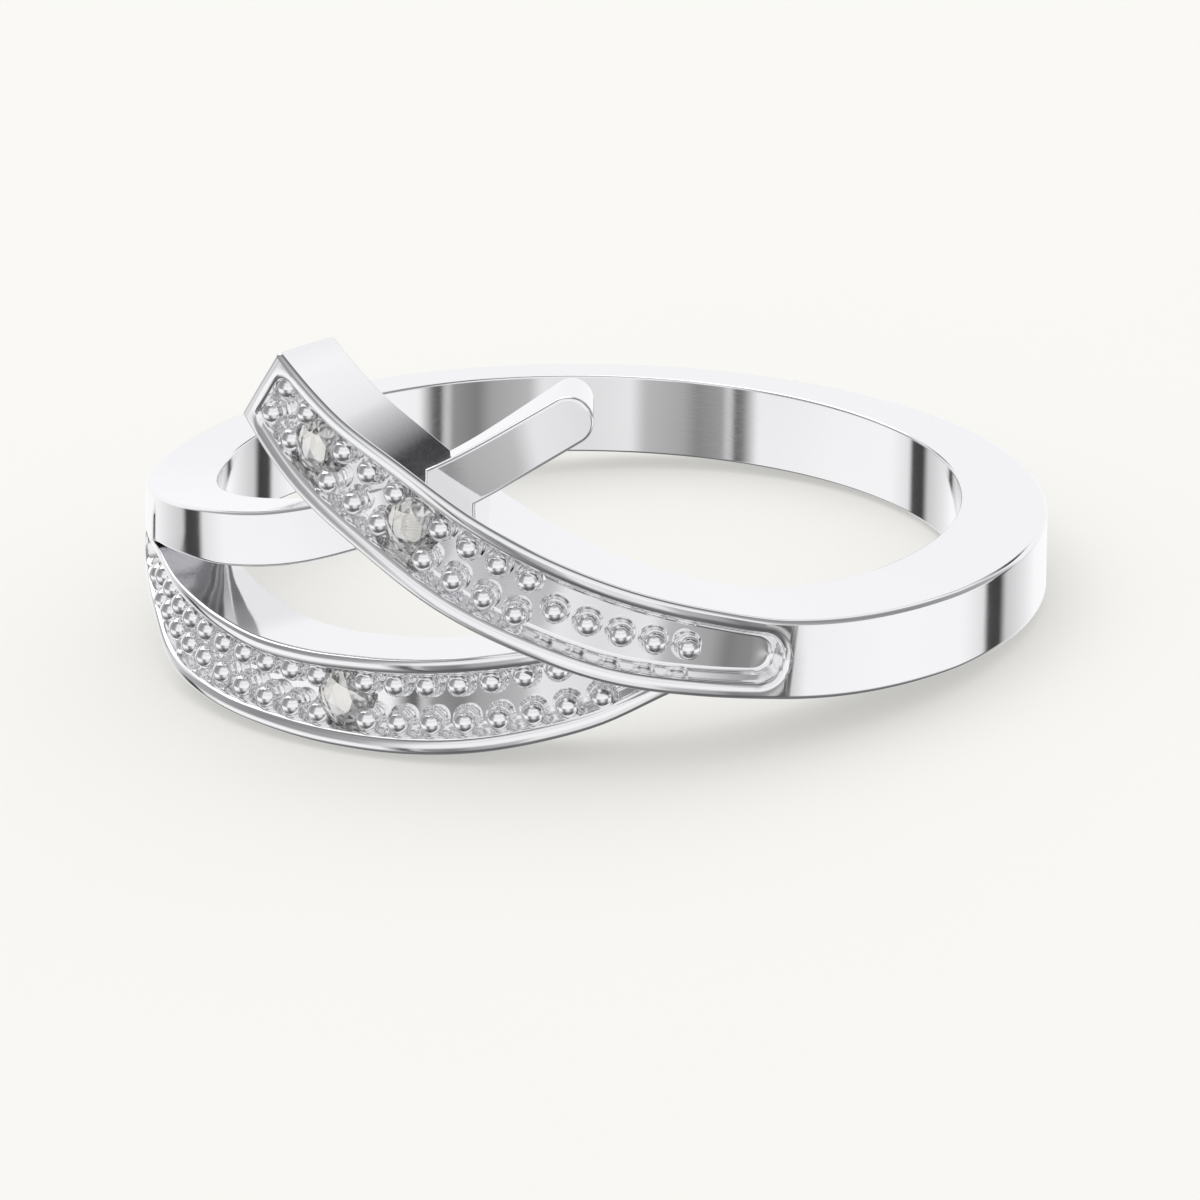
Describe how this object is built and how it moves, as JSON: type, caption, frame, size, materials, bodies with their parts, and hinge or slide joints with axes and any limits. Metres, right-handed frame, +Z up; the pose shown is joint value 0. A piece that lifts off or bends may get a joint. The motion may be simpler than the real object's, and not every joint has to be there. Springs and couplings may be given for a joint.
{
  "type": "crossover finger ring",
  "caption": "Finger ring whose polished band crosses over itself, with channelled arms, rows of raised beads and round cut stones.",
  "frame": {"origin": "centre of the ring's box at the surface that the ring lies on", "axes": "+Z up from that surface, 4.8 degrees from the finger hole's axis; -Y towards the front, where the band crosses; +X towards the band's right shoulder"},
  "size_m": [0.021, 0.0208, 0.0093],
  "materials": {
    "polished_metal": "high polish, silver-white",
    "clear_stone": "faceted and polished"
  },
  "bodies": {
    "root": {"ring_metal": "polished_metal", "stone_arm_end": "clear_stone", "stone_arm_middle": "clear_stone", "stone_lower_arm": "clear_stone"}
  },
  "joints": []
}
